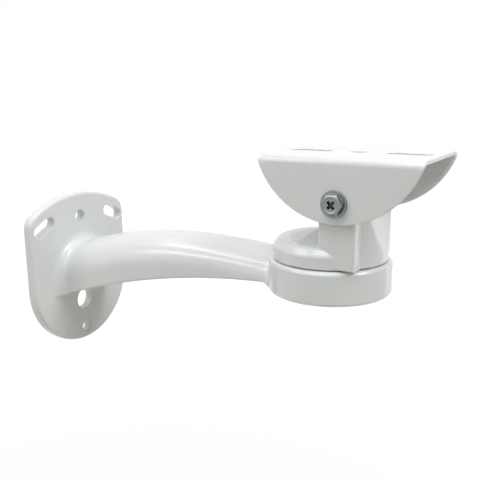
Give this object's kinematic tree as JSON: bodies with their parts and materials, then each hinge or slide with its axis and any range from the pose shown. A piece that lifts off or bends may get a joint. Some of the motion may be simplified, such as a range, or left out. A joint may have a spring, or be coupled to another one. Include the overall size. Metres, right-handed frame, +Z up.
{
  "type": "camera wall bracket",
  "caption": "Cast wall bracket for a security camera: a wall plate with a hollow curved arm, a turning pan head and a tilting folded saddle with slots for the camera's screw.",
  "frame": {"origin": "on the back face of the wall plate, on its centre line, half way between the upper and the lower wall screw hole", "axes": "+X out of the wall along the arm, +Y across the plate, +Z up"},
  "size_m": [0.1808, 0.0634, 0.1014],
  "materials": {
    "white_paint": "gloss",
    "zinc": "satin"
  },
  "bodies": {
    "arm": {"wall_arm": "white_paint"},
    "head": {"pan_head": "white_paint", "pan_screw": "zinc", "pan_spring_washer": "zinc", "pan_flat_washer": "zinc", "front_pivot_screw": "zinc", "front_pivot_spring_washer": "zinc", "front_pivot_flat_washer": "zinc", "rear_pivot_screw": "zinc", "rear_pivot_spring_washer": "zinc", "rear_pivot_flat_washer": "zinc"},
    "saddle": {"saddle": "white_paint"}
  },
  "joints": [
    {"name": "pan", "type": "hinge", "parent": "arm", "child": "head", "pos_m": [0.139, 0, 0.0246], "axis": [0, 0, 1], "range_deg": [-100, 100]},
    {"name": "tilt", "type": "hinge", "parent": "head", "child": "saddle", "pos_m": [0.1496, 0, 0.05], "axis": [0, 1, 0], "range_deg": [-50, 75]}
  ]
}
